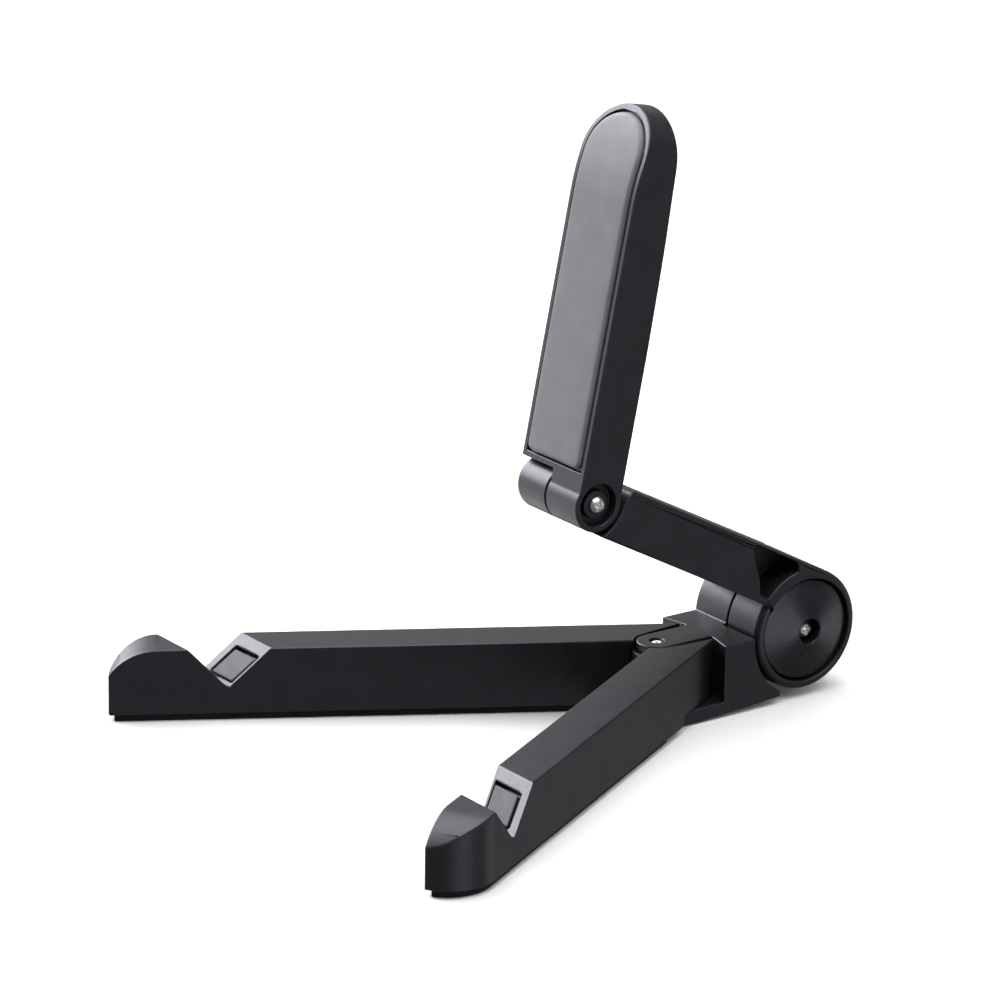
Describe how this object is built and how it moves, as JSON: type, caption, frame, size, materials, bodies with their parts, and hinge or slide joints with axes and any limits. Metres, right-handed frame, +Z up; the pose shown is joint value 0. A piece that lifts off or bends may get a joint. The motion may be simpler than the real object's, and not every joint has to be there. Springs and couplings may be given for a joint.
{
  "type": "folding tablet stand",
  "caption": "Folding desk stand: two notched legs on a hub, a button-locked lower arm and a padded upper bar that hold a tablet upright.",
  "frame": {"origin": "On the floor under the leg pivot.", "axes": "+Z up; -Y is forward, the way the legs point; X runs along the barrel, with the release button on +X."},
  "size_m": [0.1424, 0.1639, 0.1512],
  "materials": {
    "body_plastic": "fine satin moulded ABS, near black",
    "arm_plastic": "fine satin moulded ABS, near black",
    "button_plastic": "satin moulded push button",
    "pad_rubber": "soft matt silicone rubber, dark grey",
    "rest_rubber": "soft matt silicone rubber, dark grey",
    "foot_rubber": "black non-slip rubber",
    "screw_steel": "bright plated steel screw",
    "washer_steel": "plain steel washer",
    "spring_steel": "spring wire",
    "lock_metal": "sintered steel teeth"
  },
  "bodies": {
    "hub": {"hub": "body_plastic", "hub_foot": "foot_rubber", "leg_pivot_screw": "screw_steel", "lock_ring": "lock_metal", "hinge_screw": "screw_steel", "hinge_nut": "screw_steel", "hinge_washer": "washer_steel", "release_spring": "spring_steel"},
    "left_leg": {"left_leg": "body_plastic", "left_rest_pad": "rest_rubber", "left_foot_strip": "foot_rubber"},
    "right_leg": {"right_leg": "body_plastic", "right_rest_pad": "rest_rubber", "right_foot_strip": "foot_rubber"},
    "lower_arm": {"lower_arm": "arm_plastic", "joint_nut": "screw_steel", "joint_screw": "screw_steel", "joint_washer": "washer_steel"},
    "button": {"release_button": "button_plastic", "clutch_gear": "lock_metal"},
    "upper_bar": {"upper_bar": "arm_plastic", "upper_pad": "pad_rubber"}
  },
  "joints": [
    {"name": "left_leg_swing", "type": "hinge", "parent": "hub", "child": "left_leg", "pos_m": [0, 0, 0], "axis": [0, 0, 1], "range_deg": [0, 30]},
    {"name": "right_leg_swing", "type": "hinge", "parent": "hub", "child": "right_leg", "pos_m": [0, 0, 0], "axis": [0, 0, -1], "range_deg": [0, 30]},
    {"name": "arm_hinge", "type": "hinge", "parent": "hub", "child": "lower_arm", "pos_m": [0, 0.036, 0.0171], "axis": [-1, 0, 0], "range_deg": [-28, 62]},
    {"name": "bar_hinge", "type": "hinge", "parent": "lower_arm", "child": "upper_bar", "pos_m": [0, -0.02711, 0.06028], "axis": [-1, 0, 0], "range_deg": [-73.5, 3]},
    {"name": "button_press", "type": "slide", "parent": "lower_arm", "child": "button", "axis": [-1, 0, 0], "range_m": [0, 0.002], "stiffness_N_per_m": 1500, "springref_m": -0.003}
  ]
}
